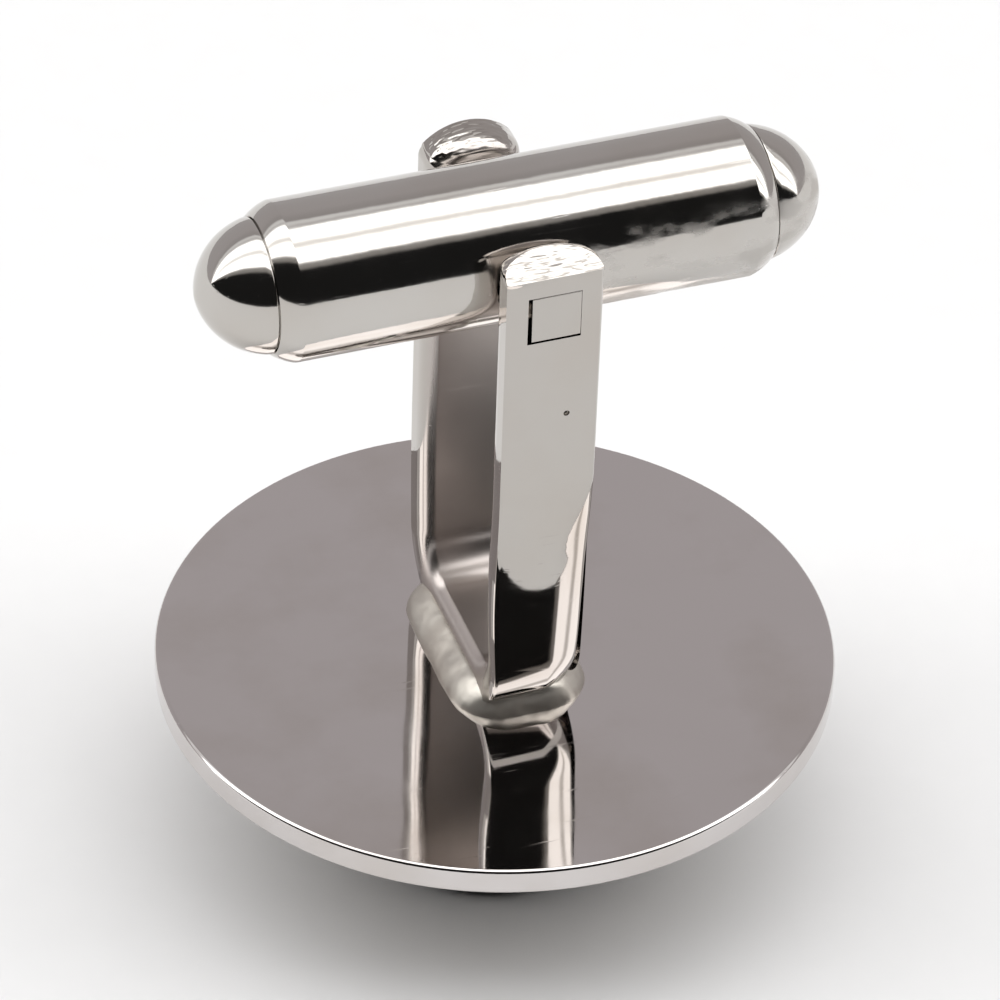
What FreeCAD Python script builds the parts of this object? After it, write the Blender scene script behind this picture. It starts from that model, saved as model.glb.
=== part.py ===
import FreeCAD, Part
import math
import os

import Sketcher

# Swivel-bar cufflink standing on its stone, +Z up along the post.
# The origin is the centre of the stone's flat face, X runs along the toggle and Y along its pivot.

# Driving dimensions in millimetres
SIZES = {
    "plate_radius": 9.5,
    "plate_thickness": 0.8,
    "plate_edge_break": 0.07,
    "skirt_radius": 8.8,
    "skirt_edge": 0.15,
    "skirt_seat": 0.7,
    "skirt_wall": 0.45,
    "skirt_rise": 1.9,
    "cove_depth": 0.56,
    "neck_radius": 5.0,
    "bead_top_drop": 0.3,
    "bead_height": 0.72,
    "bead_flat": 0.02,
    "lip_step": 0.12,
    "cup_floor": 0.4,
    "stone_radius": 4.45,
    "stone_clearance": 0.03,
    "stone_edge_round": 0.85,
    "stone_proud": 1.85,
    "stone_seat_depth": 0.7,
    "cement_thickness": 0.15,
    "cement_margin": 0.3,
    "strap_width": 2.7,
    "strap_foot_width": 2.45,
    "strap_taper_height": 6.0,
    "strap_thickness": 1.1,
    "strap_floor": 1.0,
    "strap_edge_round": 0.15,
    "bend_radius": 2.2,
    "ear_shoulder": 1.3,
    "ear_arch_radius": 2.2,
    "ear_corner_round": 0.5,
    "ear_facet_lift": 0.06,
    "ear_facet_rise": 0.37,
    "solder_spread": 0.75,
    "solder_setback": 0.35,
    "solder_corner": 1.2,
    "solder_height": 0.95,
    "solder_round": 0.55,
    "pivot_height": 14.2,
    "pin_side": 1.5,
    "pin_running_clearance": 0.04,
    "barrel_radius": 2.2,
    "barrel_wall": 0.4,
    "barrel_length": 14.0,
    "barrel_bevel": 0.32,
    "barrel_bevel_length": 0.55,
    "barrel_side_clearance": 0.35,
    "plug_clearance": 0.02,
    "plug_shank": 2.0,
    "nose_length": 1.8,
    "nose_radius": 1.86,
    "nose_side_radius": 2.1,
    "leaf_width": 1.8,
    "leaf_thickness": 0.2,
    "leaf_gap": 0.02,
    "leaf_grip": 1.5,
    "cut_overrun": 1.0,
}

doc = FreeCAD.newDocument("cufflink")
sheet = doc.addObject("Spreadsheet::Sheet", "sizes")
for row, (alias, size) in enumerate(SIZES.items(), start=1):
    sheet.set("A%d" % row, alias)
    sheet.set("B%d" % row, str(size))
    sheet.setAlias("B%d" % row, alias)
doc.recompute()


# Sums of named sizes, written as words such as "pin_side/2 + leaf_gap"
def number(terms):
    """The value of a sum of named sizes."""
    total = 0.0
    sign = 1
    for word in terms.split():
        if word == "+":
            sign = 1
        elif word == "-":
            sign = -1
        elif word != "0":
            alias, _, divisor = word.partition("/")
            total += sign * sheet.get(alias) / float(divisor or 1)
    return total


def bound(terms):
    """The same sum as an expression on the sheet."""
    words = [word if word in ("+", "-", "0") else "sizes." + word for word in terms.split()]
    return " ".join(words)


# Heights of the stack, each a sum of named sizes
LIP_Z = "stone_proud"
CUP_SEAT_Z = "stone_proud + stone_seat_depth + cement_thickness"
NECK_Z = CUP_SEAT_Z + " + cup_floor"
PLATE_Z = NECK_Z + " + skirt_rise"
BACK_Z = PLATE_Z + " + plate_thickness"
PIVOT_Z = BACK_Z + " + pivot_height"
LEG_INNER = "barrel_radius + barrel_side_clearance"
LEG_OUTER = LEG_INNER + " + strap_thickness"
BORE_RADIUS = "barrel_radius - barrel_wall"
PLUG_RADIUS = BORE_RADIUS + " - plug_clearance"
LEAF_LOW = "pin_side/2 + leaf_gap"
LEAF_TOP = LEAF_LOW + " + leaf_thickness"
PLUG_INNER_X = "barrel_length/2 - plug_shank"
LEAF_END_X = PLUG_INNER_X + " + leaf_grip"


def negative(terms):
    """The sum with every sign turned."""
    words = []
    for word in ("+ " + terms).split():
        words.append({"+": "-", "-": "+"}.get(word, word))
    return " ".join(words)


def new_body(label, lift="0"):
    """An empty body, raised along Z by a sum of named sizes."""
    body = doc.addObject("PartDesign::Body", label)
    body.Label = label
    if lift != "0":
        body.setExpression("Placement.Base.z", bound(lift))
    return body


def new_sketch(body, name, plane):
    """A sketch on one of the body's own origin planes."""
    sketch = body.newObject("Sketcher::SketchObject", name)
    support = [item for item in body.Origin.OriginFeatures if item.Role == plane][0]
    sketch.AttachmentSupport = (support, [""])
    sketch.MapMode = "FlatFace"
    return sketch


def pin_point(sketch, geometry, end, place):
    """Hold one end of a piece of geometry at a place given by two sums."""
    for kind, axis, terms in (("DistanceX", -2, place[0]), ("DistanceY", -1, place[1])):
        if terms == "0":
            sketch.addConstraint(Sketcher.Constraint("PointOnObject", geometry, end, axis))
        else:
            held = Sketcher.Constraint(kind, -1, 1, geometry, end, number(terms))
            index = sketch.addConstraint(held)
            sketch.setExpression("Constraints[%d]" % index, bound(terms))


def arc_between(start, finish, radius, turn):
    """A minor arc; turn is 1 anticlockwise from start to finish, or -1 clockwise."""
    if turn < 0:
        start, finish = finish, start
    chord = finish - start
    middle = start + chord * 0.5
    normal = FreeCAD.Vector(-chord.y, chord.x, 0)
    normal.normalize()
    centre = middle + normal * math.sqrt(radius ** 2 - chord.Length ** 2 / 4)
    from_angle = math.atan2(start.y - centre.y, start.x - centre.x)
    to_angle = math.atan2(finish.y - centre.y, finish.x - centre.x)
    circle = Part.Circle(centre, FreeCAD.Vector(0, 0, 1), radius)
    return Part.ArcOfCircle(circle, from_angle, to_angle)


def sized(terms):
    """A radius that is a sum of named sizes: its value and its expression."""
    return number(terms), bound(terms)


def hollowed(start, finish, depth):
    """The radius of an arc that stands off its chord by a depth: its value and its expression."""
    chord_square = sum((number(finish[axis]) - number(start[axis])) ** 2 for axis in (0, 1))
    spans = ["(%s - (%s))^2" % (bound(finish[axis]), bound(start[axis])) for axis in (0, 1)]
    deep = number(depth)
    expression = "(%s) / (8 * %s) + %s / 2" % (" + ".join(spans), bound(depth), bound(depth))
    return chord_square / (8 * deep) + deep / 2, expression


def outline(sketch, places, arcs=None):
    """A closed outline through places; arcs maps a side's index to its radius and its turn."""
    arcs = arcs or {}
    points = [FreeCAD.Vector(number(across), number(along), 0) for across, along in places]
    ends = []
    for side, start in enumerate(points):
        finish = points[(side + 1) % len(points)]
        if side in arcs:
            (radius, _), turn = arcs[side]
            geometry = sketch.addGeometry(arc_between(start, finish, radius, turn), False)
            ends.append((geometry, 1, 2) if turn > 0 else (geometry, 2, 1))
        else:
            geometry = sketch.addGeometry(Part.LineSegment(start, finish), False)
            ends.append((geometry, 1, 2))
    for side, (geometry, first, last) in enumerate(ends):
        follower, follower_first, _ = ends[(side + 1) % len(ends)]
        sketch.addConstraint(Sketcher.Constraint("Coincident", geometry, last, follower, follower_first))
        pin_point(sketch, geometry, first, places[side])
    for side, ((radius, expression), _) in arcs.items():
        held = Sketcher.Constraint("Radius", ends[side][0], radius)
        index = sketch.addConstraint(held)
        sketch.setExpression("Constraints[%d]" % index, expression)
    doc.recompute()


def box_outline(sketch, low, high):
    """A rectangle between two corners."""
    outline(sketch, [low, (high[0], low[1]), high, (low[0], high[1])])


def round_outline(sketch, radius, expression):
    """A circle about the sketch's origin, first drawn at one radius and then bound to the sheet."""
    circle = Part.Circle(FreeCAD.Vector(0, 0, 0), FreeCAD.Vector(0, 0, 1), radius)
    geometry = sketch.addGeometry(circle, False)
    sketch.addConstraint(Sketcher.Constraint("Coincident", geometry, 3, -1, 1))
    index = sketch.addConstraint(Sketcher.Constraint("Radius", geometry, radius))
    sketch.setExpression("Constraints[%d]" % index, expression)
    doc.recompute()


def revolve(body, sketch, axis):
    """Turn a sketch about one of its own axes."""
    turned = body.newObject("PartDesign::Revolution", body.Label + "_turned")
    turned.Profile = sketch
    turned.ReferenceAxis = (sketch, [axis])
    turned.Angle = 360.0
    doc.recompute()
    return turned


def pad(body, sketch, length):
    """Thicken a sketch equally to both sides of its plane."""
    solid = body.newObject("PartDesign::Pad", sketch.Label + "_pad")
    solid.Profile = sketch
    solid.SideType = "Symmetric"
    solid.setExpression("Length", bound(length))
    doc.recompute()
    return solid


def cut_through(body, sketch, length):
    """Cut a sketch equally to both sides of its plane, and make sure that it removed something."""
    before = body.Shape.Volume
    cut = body.newObject("PartDesign::Pocket", sketch.Label + "_cut")
    cut.Profile = sketch
    cut.SideType = "Symmetric"
    cut.setExpression("Length", bound(length))
    doc.recompute()
    if body.Shape.Volume >= before:
        raise ValueError(sketch.Label + " cuts nothing")
    return cut


def round_edges(body, feature, edges, radius):
    """Round the named edges of a feature."""
    rounded = body.newObject("PartDesign::Fillet", feature.Label + "_round")
    rounded.Base = (feature, edges)
    rounded.setExpression("Radius", bound(radius))
    doc.recompute()
    return rounded


def edges_where(shape, wanted):
    """The names of the edges that a test picks."""
    return ["Edge%d" % place for place, edge in enumerate(shape.Edges, start=1) if wanted(edge)]


def near(one, other):
    """Whether two lengths agree to a small part of the strap's thickness."""
    tolerance_share = 0.001
    return abs(one - other) < tolerance_share * number("strap_thickness")


# Round pieces of the face, all turned about Z
def turned_piece(label, places, arcs=None):
    """A body turned about Z from an outline of radius and height."""
    body = new_body(label)
    sketch = new_sketch(body, label + "_outline", "XZ_Plane")
    outline(sketch, places, arcs)
    revolve(body, sketch, "V_Axis")
    return body


def make_back_plate():
    """The flat disc that bears on the cuff, with a fine break on both edges."""
    inset = "plate_radius - plate_edge_break"
    low_edge = PLATE_Z + " + plate_edge_break"
    high_edge = BACK_Z + " - plate_edge_break"
    places = [
        ("0", PLATE_Z),
        (inset, PLATE_Z),
        ("plate_radius", low_edge),
        ("plate_radius", high_edge),
        (inset, BACK_Z),
        ("0", BACK_Z),
    ]
    return turned_piece("back_plate", places)


def make_flared_skirt():
    """The hollow stamping that flares from the stone's cup out to the plate in a cove."""
    places = [
        ("neck_radius - skirt_wall", NECK_Z),
        ("neck_radius", NECK_Z),
        ("skirt_radius", PLATE_Z + " - skirt_edge"),
        ("skirt_radius", PLATE_Z),
        ("skirt_radius - skirt_seat", PLATE_Z),
    ]
    outer_cove = hollowed(places[1], places[2], "cove_depth")
    inner_cove = hollowed(places[4], places[0], "cove_depth")
    return turned_piece("flared_skirt", places, {1: (outer_cove, -1), 4: (inner_cove, 1)})


def make_stone_cup():
    """The cup that holds the stone, with a half-round bead below its neck and a thin lip."""
    bead_top = NECK_Z + " - bead_top_drop"
    bead_low = bead_top + " - bead_height"
    cup_bore = "stone_radius + stone_clearance"
    places = [
        ("0", NECK_Z),
        ("neck_radius", NECK_Z),
        ("neck_radius", bead_top),
        ("neck_radius", bead_low),
        ("neck_radius - lip_step", LIP_Z),
        (cup_bore, LIP_Z),
        (cup_bore, CUP_SEAT_Z),
        ("0", CUP_SEAT_Z),
    ]
    return turned_piece("stone_cup", places, {2: (sized("bead_height/2 + bead_flat"), -1)})


def make_stone():
    """The black stone, with a rounded edge round its flat face."""
    stone_top = "stone_proud + stone_seat_depth"
    places = [
        ("0", "0"),
        ("stone_radius - stone_edge_round", "0"),
        ("stone_radius", "stone_edge_round"),
        ("stone_radius", stone_top),
        ("0", stone_top),
    ]
    return turned_piece("stone", places, {1: (sized("stone_edge_round"), 1)})


def make_stone_cement():
    """The thin bed of cement between the stone and the floor of its cup."""
    low = "stone_proud + stone_seat_depth"
    edge = "stone_radius - cement_margin"
    places = [("0", low), (edge, low), (edge, CUP_SEAT_Z), ("0", CUP_SEAT_Z)]
    return turned_piece("stone_cement", places)


# Post, solder and pin, which stand on the back plate
def make_post_strap():
    """The strap bent into a U, with arched ears, sloped to both faces, that carry the square pin."""
    body = new_body("post_strap", BACK_Z)
    profile = new_sketch(body, "strap_profile", "YZ_Plane")
    foot = LEG_OUTER + " - bend_radius"
    facet_low = "pivot_height + ear_shoulder + ear_facet_lift"
    ridge = LEG_INNER + " + strap_thickness/2"
    ridge_z = facet_low + " + ear_facet_rise"
    places = [
        (negative(foot), "0"),
        (foot, "0"),
        (LEG_OUTER, "bend_radius"),
        (LEG_OUTER, facet_low),
        (ridge, ridge_z),
        (LEG_INNER, facet_low),
        (LEG_INNER, "strap_floor"),
        (negative(LEG_INNER), "strap_floor"),
        (negative(LEG_INNER), facet_low),
        (negative(ridge), ridge_z),
        (negative(LEG_OUTER), facet_low),
        (negative(LEG_OUTER), "bend_radius"),
    ]
    bend = sized("bend_radius")
    outline(profile, places, {1: (bend, 1), 11: (bend, 1)})
    pad(body, profile, "strap_width + cut_overrun")
    trimmed = body.newObject("PartDesign::Boolean", "strap_trimmed")
    trimmed.setObjects([make_strap_front()])
    trimmed.Type = "Common"
    doc.recompute()
    edges = edges_where(trimmed.Shape, on_strap_outside)
    round_edges(body, trimmed, edges, "strap_edge_round")
    return body


def make_strap_front():
    """The strap as it is seen along the pin: tapered foot, straight sides, arched ear, square hole."""
    body = new_body("strap_front")
    sketch = new_sketch(body, "strap_front_outline", "XZ_Plane")
    shoulder_z = "pivot_height + ear_shoulder"
    foot = "strap_foot_width/2"
    side = "strap_width/2"
    places = [
        (negative(foot), "0"),
        (foot, "0"),
        (side, "strap_taper_height"),
        (side, shoulder_z),
        (negative(side), shoulder_z),
        (negative(side), "strap_taper_height"),
    ]
    outline(sketch, places, {3: (sized("ear_arch_radius"), 1)})
    depth = LEG_OUTER + " + " + LEG_OUTER + " + cut_overrun"
    blank = pad(body, sketch, depth)
    shoulder = number(shoulder_z)

    def along_shoulder(edge):
        level = all(near(vertex.Z, shoulder) for vertex in edge.Vertexes)
        return level and near(edge.Vertexes[0].X, edge.Vertexes[1].X)

    round_edges(body, blank, edges_where(blank.Shape, along_shoulder), "ear_corner_round")
    hole = new_sketch(body, "strap_pin_hole", "XZ_Plane")
    pin_outline(hole, "pivot_height")
    cut_through(body, hole, depth)
    return body


def on_strap_outside(edge):
    """Whether an edge runs up a leg's outer side or over its ear, but not round the pin's hole."""
    middle = edge.valueAt((edge.FirstParameter + edge.LastParameter) / 2)
    spots = [vertex.Point for vertex in edge.Vertexes] + [middle]
    level = all(near(spot.z, spots[0].z) for spot in spots)
    around_pin = near(abs(middle.x), number("pin_side/2"))
    outside = all(near(abs(spot.y), strap_outside(spot.z)) for spot in spots)
    return outside and not level and not around_pin


def strap_outside(height):
    """How far the strap's outer face stands from the middle at a height above the plate."""
    radius = number("bend_radius")
    below = min(max(0.0, radius - height), radius)
    return number(LEG_OUTER) - radius + math.sqrt(radius ** 2 - below ** 2)


def pin_outline(sketch, height):
    """The pin's square section, centred at a height on the Z axis."""
    half = "pin_side/2"
    box_outline(sketch, (negative(half), height + " - " + half), (half, height + " + " + half))


def make_pivot_pin():
    """The square pin, fixed in both ears with its ends flush."""
    body = new_body("pivot_pin", BACK_Z)
    sketch = new_sketch(body, "pin_section", "XZ_Plane")
    pin_outline(sketch, "pivot_height")
    pad(body, sketch, LEG_OUTER + " + " + LEG_OUTER)
    return body


def make_post_solder(strap):
    """The raised bead of solder round the strap's foot."""
    blank = new_body("solder_blank", BACK_Z)
    sketch = new_sketch(blank, "solder_plan", "XZ_Plane")
    across = "strap_foot_width/2 + solder_spread"
    box_outline(sketch, (negative(across), "0"), (across, "solder_height"))
    along = LEG_OUTER + " - solder_setback"
    lump = pad(blank, sketch, along + " + " + along)
    upright = edges_where(
        lump.Shape,
        lambda edge: not near(edge.Vertexes[0].Z, edge.Vertexes[1].Z),
    )
    corners = round_edges(blank, lump, upright, "solder_corner")
    top = number("solder_height")
    rim = edges_where(
        corners.Shape,
        lambda edge: all(near(vertex.Z, top) for vertex in edge.Vertexes),
    )
    round_edges(blank, corners, rim, "solder_round")
    solder = doc.addObject("Part::Cut", "post_solder")
    solder.Label = "post_solder"
    solder.Base = blank
    solder.Tool = strap
    doc.recompute()
    return solder


# Toggle, built about the pivot
def make_toggle_barrel():
    """The tube of the toggle, with bevelled ends and a round bearing hole in each side."""
    body = new_body("toggle_barrel", PIVOT_Z)
    sketch = new_sketch(body, "barrel_outline", "XZ_Plane")
    end = "barrel_length/2"
    shoulder = end + " - barrel_bevel_length"
    bevel_radius = "barrel_radius - barrel_bevel"
    places = [
        (negative(end), BORE_RADIUS),
        (end, BORE_RADIUS),
        (end, bevel_radius),
        (shoulder, "barrel_radius"),
        (negative(shoulder), "barrel_radius"),
        (negative(end), bevel_radius),
    ]
    outline(sketch, places)
    revolve(body, sketch, "H_Axis")
    hole = new_sketch(body, "barrel_bearing", "XZ_Plane")
    running_radius = "hypot(sizes.pin_side / 2; sizes.pin_side / 2) + sizes.pin_running_clearance"
    round_outline(hole, number("pin_side"), running_radius)
    cut_through(body, hole, "barrel_radius + barrel_radius + cut_overrun")
    return body


def make_nose_plug(label, turned_round):
    """A bullet-nosed plug, shouldered on the tube, with slots in its shank that grip the leaf springs."""
    body = new_body(label, PIVOT_Z)
    if turned_round:
        body.Placement.Rotation = FreeCAD.Rotation(FreeCAD.Vector(0, 0, 1), 180)
    sketch = new_sketch(body, label + "_outline", "XZ_Plane")
    mouth = "barrel_length/2"
    tip = mouth + " + nose_length"
    places = [
        (PLUG_INNER_X, "0"),
        (PLUG_INNER_X, PLUG_RADIUS),
        (mouth, PLUG_RADIUS),
        (mouth, "nose_radius"),
        (tip, "0"),
    ]
    outline(sketch, places, {3: (sized("nose_side_radius"), -1)})
    revolve(body, sketch, "H_Axis")
    low = "pin_side/2"
    high = LEAF_TOP + " + leaf_gap"
    for name, slot_low, slot_high in (("upper", low, high), ("lower", *flipped(low, high))):
        slot = new_sketch(body, label + "_" + name + "_slot", "XZ_Plane")
        inner_corner = (PLUG_INNER_X + " - cut_overrun", slot_low)
        outer_corner = (LEAF_END_X + " + leaf_gap", slot_high)
        box_outline(slot, inner_corner, outer_corner)
        cut_through(body, slot, "leaf_width + leaf_gap + leaf_gap")
    return body


def flipped(low, high):
    """A span of heights mirrored below the axis."""
    return negative(high), negative(low)


def make_leaf_spring(label, low, high):
    """A flat leaf lying on one of the pin's flats, its ends in the plugs."""
    body = new_body(label, PIVOT_Z)
    sketch = new_sketch(body, label + "_outline", "XZ_Plane")
    box_outline(sketch, (negative(LEAF_END_X), low), (LEAF_END_X, high))
    pad(body, sketch, "leaf_width")
    return body


post_strap = make_post_strap()
pieces = [
    make_back_plate(),
    make_flared_skirt(),
    make_stone_cup(),
    make_stone(),
    make_stone_cement(),
    post_strap,
    make_post_solder(post_strap),
    make_pivot_pin(),
    make_toggle_barrel(),
    make_nose_plug("nose_plug_right", False),
    make_nose_plug("nose_plug_left", True),
    make_leaf_spring("leaf_spring_upper", LEAF_LOW, LEAF_TOP),
    make_leaf_spring("leaf_spring_lower", *flipped(LEAF_LOW, LEAF_TOP)),
]
doc.recompute()

for item in doc.Objects:
    if "Invalid" in item.State or "Error" in item.State:
        raise RuntimeError("%s failed: %s" % (item.Label, item.State))
for piece in pieces:
    if piece.Shape.isNull() or not piece.Shape.isValid():
        raise RuntimeError(piece.Label + " has no valid shape")

os.makedirs("parts", exist_ok=True)
for piece in pieces:
    piece.Shape.exportStep("parts/%s.step" % piece.Label)
    print("%s: volume %.4f mm3, solids %d" % (piece.Label, piece.Shape.Volume, len(piece.Shape.Solids)))
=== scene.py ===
import math
from collections import namedtuple

import bpy
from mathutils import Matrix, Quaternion, Vector


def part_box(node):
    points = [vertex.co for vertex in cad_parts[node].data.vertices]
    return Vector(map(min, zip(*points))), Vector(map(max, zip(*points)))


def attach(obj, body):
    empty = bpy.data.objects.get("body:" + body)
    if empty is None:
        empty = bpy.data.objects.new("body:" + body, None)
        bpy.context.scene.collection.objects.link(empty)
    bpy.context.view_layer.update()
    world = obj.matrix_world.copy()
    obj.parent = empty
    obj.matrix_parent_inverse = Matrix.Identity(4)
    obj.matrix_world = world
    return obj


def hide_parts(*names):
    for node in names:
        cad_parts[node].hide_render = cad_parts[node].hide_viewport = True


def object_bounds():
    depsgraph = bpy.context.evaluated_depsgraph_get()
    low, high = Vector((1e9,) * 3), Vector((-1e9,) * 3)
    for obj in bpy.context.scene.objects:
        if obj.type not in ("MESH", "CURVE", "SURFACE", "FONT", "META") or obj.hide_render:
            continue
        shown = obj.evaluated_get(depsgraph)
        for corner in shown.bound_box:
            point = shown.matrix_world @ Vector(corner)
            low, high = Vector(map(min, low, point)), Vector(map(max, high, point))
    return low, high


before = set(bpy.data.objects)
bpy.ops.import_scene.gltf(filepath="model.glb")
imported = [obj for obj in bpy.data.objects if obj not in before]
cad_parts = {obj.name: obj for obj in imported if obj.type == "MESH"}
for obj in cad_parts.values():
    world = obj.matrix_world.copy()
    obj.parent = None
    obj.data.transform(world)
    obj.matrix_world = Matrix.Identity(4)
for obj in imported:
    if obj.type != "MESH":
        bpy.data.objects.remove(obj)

CAD_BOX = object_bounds()
SEAT = {name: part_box(name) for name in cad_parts}
PLATE_BACK = SEAT["back_plate"][1].z
PIVOT = (SEAT["toggle_barrel"][0] + SEAT["toggle_barrel"][1]) / 2
STRAP_HALF = SEAT["post_strap"][1].x
STRAP_OUTER = SEAT["post_strap"][1].y
ORIGIN = (0.0, 0.0, 0.0)
UNTURNED = (0.0, 0.0, 0.0)

# Fineness of the modelling
ROUND_STEPS = 192
ARC_STEPS = 10
BEND_STEPS = 16
FLANK_STEPS = 8
LEG_COLUMNS = 10
MERGE_GAP = 1e-6

# Angles in degrees above which an edge stays sharp
ROUND_SHARP = 40.0
CUT_SHARP = 35.0
STAMPED_SHARP = 30.0

# How full the rounding at the strap's foot and the side of the solder are
FLANK_PROFILE = 0.36
SOLDER_FULLNESS = 1.4

# Depth of the relief in the finishes, in metres
FINE_RELIEF = 0.00003
ROLLED_RELIEF = 0.000004

# What the wear of the plated metal adds to its roughness and to its relief
SCRATCH_ROUGHNESS = 0.22
SPECK_ROUGHNESS = 0.4
DULL_ROUGHNESS = 0.26
WAVE_HEIGHT = 0.5
GROOVE_HEIGHT = -0.05
FILE_HEIGHT = 3.6

bl_info = {
    "name": "Swivel-bar cufflink",
    "version": (1, 0, 0),
    "blender": (4, 5, 0),
    "location": "3D View > Sidebar > Cufflink",
    "description": "Models a swivel-bar cufflink on its frame, with its finishes and a studio",
    "category": "Add Mesh",
}


# Properties
def length(name, description, default):
    """A size in metres."""
    return bpy.props.FloatProperty(
        name=name,
        description=description,
        default=default,
        min=0.0,
        precision=6,
        subtype="DISTANCE",
        unit="LENGTH",
    )


def colour(name, description, default):
    """A colour of a finish."""
    return bpy.props.FloatVectorProperty(
        name=name,
        description=description,
        default=default,
        size=3,
        min=0.0,
        max=1.0,
        subtype="COLOR",
    )


def share(name, description, default):
    """A share from nothing to all."""
    return bpy.props.FloatProperty(
        name=name,
        description=description,
        default=default,
        min=0.0,
        max=1.0,
        subtype="FACTOR",
    )


def strength(name, description, default):
    """A brightness of the studio."""
    return bpy.props.FloatProperty(name=name, description=description, default=default, min=0.0)


def angle(name, description, default):
    """An angle, given in degrees and kept in radians."""
    return bpy.props.FloatProperty(
        name=name,
        description=description,
        default=math.radians(default),
        subtype="ANGLE",
        unit="ROTATION",
    )


class CufflinkFaceSizes(bpy.types.PropertyGroup):
    """Sizes of the plate, the skirt, the cup and the stone."""

    plate_radius: length("Plate radius", "Radius of the back plate", SEAT["back_plate"][1].x)
    plate_edge: length("Plate edge", "Rounding of the plate's two edges", 0.00012)
    skirt_radius: length("Skirt radius", "Radius of the skirt's rim", SEAT["flared_skirt"][1].x)
    skirt_edge: length("Skirt edge", "Height of the skirt's rim", 0.00015)
    skirt_seat: length("Skirt seat", "Width of the skirt's seat under the plate", 0.0007)
    skirt_wall: length("Skirt wall", "Thickness of the skirt at its neck", 0.00045)
    cove_depth: length("Cove depth", "How deep the skirt's cove is hollowed", 0.00056)
    neck_radius: length("Neck radius", "Radius where the skirt meets the cup", 0.005)
    bead_drop: length("Bead drop", "From the neck down to the bead", 0.0003)
    bead_height: length("Bead height", "Height of the half-round bead", 0.00072)
    bead_bulge: length("Bead bulge", "How far the bead stands out", 0.00026)
    lip_step: length("Lip step", "How far the lip lies inside the neck", 0.00012)
    lip_edge: length("Lip edge", "Rounding of the lip's outer edge", 0.00008)
    cup_floor: length("Cup floor", "Thickness of the cup's floor", 0.0004)
    stone_clearance: length("Stone clearance", "Gap between the stone and its cup", 0.00003)
    stone_edge: length("Stone edge", "Rounding of the stone's face edge", 0.00085)


class CufflinkPostSizes(bpy.types.PropertyGroup):
    """Sizes of the strap, the solder and the pin."""

    strap_thickness: length("Strap thickness", "Thickness of the strap", 0.0011)
    foot_width: length("Foot width", "Width of the strap at its foot", 0.00245)
    taper_height: length("Taper height", "Height above the plate where the strap is full width", 0.006)
    bend_radius: length("Bend radius", "Outer radius of the strap's two bends", 0.0022)
    arch_radius: length("Arch radius", "Radius of the arched ears", 0.0017)
    shoulder_round: length("Shoulder round", "Rounding between an ear's sides and its arch", 0.0005)
    arch_spring: length("Arch spring", "From the pin's middle up to an ear's arch", 0.0011)
    ear_flatness: share("Ear flatness", "How far one ear's arch is pressed flat", 0.5)
    ear_drop: length("Ear drop", "How much lower the other ear is", 0.0004)
    slope_edge: length("Slope edge", "From the pin's middle up to the filed slope's edge", 0.00132)
    slope_lean: angle("Slope lean", "How steep one ear's filed slope is", 22.0)
    ridge_round: length("Ridge round", "Radius of the rounding at the top of that slope", 0.0005)
    inner_round: length("Inner round", "Width of the rounding of the strap's inner edges", 0.0004)
    inner_depth: length("Inner depth", "Depth of that rounding", 0.00068)
    flank_round: length("Flank round", "Width of one outer edge's rounding at the foot", 0.00105)
    flank_depth: length("Flank depth", "Depth of that rounding", 0.0005)
    flank_low: length("Flank low", "Height above the plate up to which it is full", 0.0056)
    flank_top: length("Flank top", "Height above the plate where it has run out", 0.0085)
    foot_dent: length("Foot dent", "How far one edge of a leg is pressed in above its bend", 0.00018)
    dent_low: length("Dent low", "Height above the plate where that dent starts", 0.0012)
    dent_middle: length("Dent middle", "Height above the plate where it is deepest", 0.0042)
    dent_top: length("Dent top", "Height above the plate where it ends", 0.008)
    edge_break: length("Edge break", "Rounding of the strap's other outer edges", 0.0001)
    pin_gap_left: length("Pin gap left", "Room on the left of the pin in its hole", 0.0001176)
    pin_gap_right: length("Pin gap right", "Room on the right of the pin", 0.0000024)
    pin_gap_below: length("Pin gap below", "Room below the pin", 0.00006)
    pin_gap_above: length("Pin gap above", "Room above the pin", 0.000024)
    pin_edge: length("Pin edge", "Rounding of the pin's ends", 0.00002)
    pit_radius: length("Pit radius", "Radius of the small pit in one leg", 0.0001)
    pit_side: length("Pit side", "How far that pit lies beside the leg's middle", 0.00044)
    pit_drop: length("Pit drop", "How far that pit lies below the pin's middle", 0.0033)
    solder_height: length("Solder height", "Height of the solder's ledge above the plate", 0.00072)
    solder_setback: length("Solder setback", "How far the solder's ends lie inside its seat", 0.0002)
    solder_corner: length("Solder corner", "Rounding of the solder's corners in plan", 0.0014)
    solder_ledge_side: length("Side ledge", "Solder's ledge beside the strap", 0.00006)
    solder_ledge_end: length("End ledge", "How far its ledge's ends lie inside its foot", 0.00025)
    solder_lump: length("Solder lump", "Height of the lumps in the solder", 0.00007)
    solder_lump_size: length("Solder lump size", "Width of the lumps in the solder", 0.0008)
    solder_grain: length("Solder grain", "Fineness of the solder's mesh", 0.00005)


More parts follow.
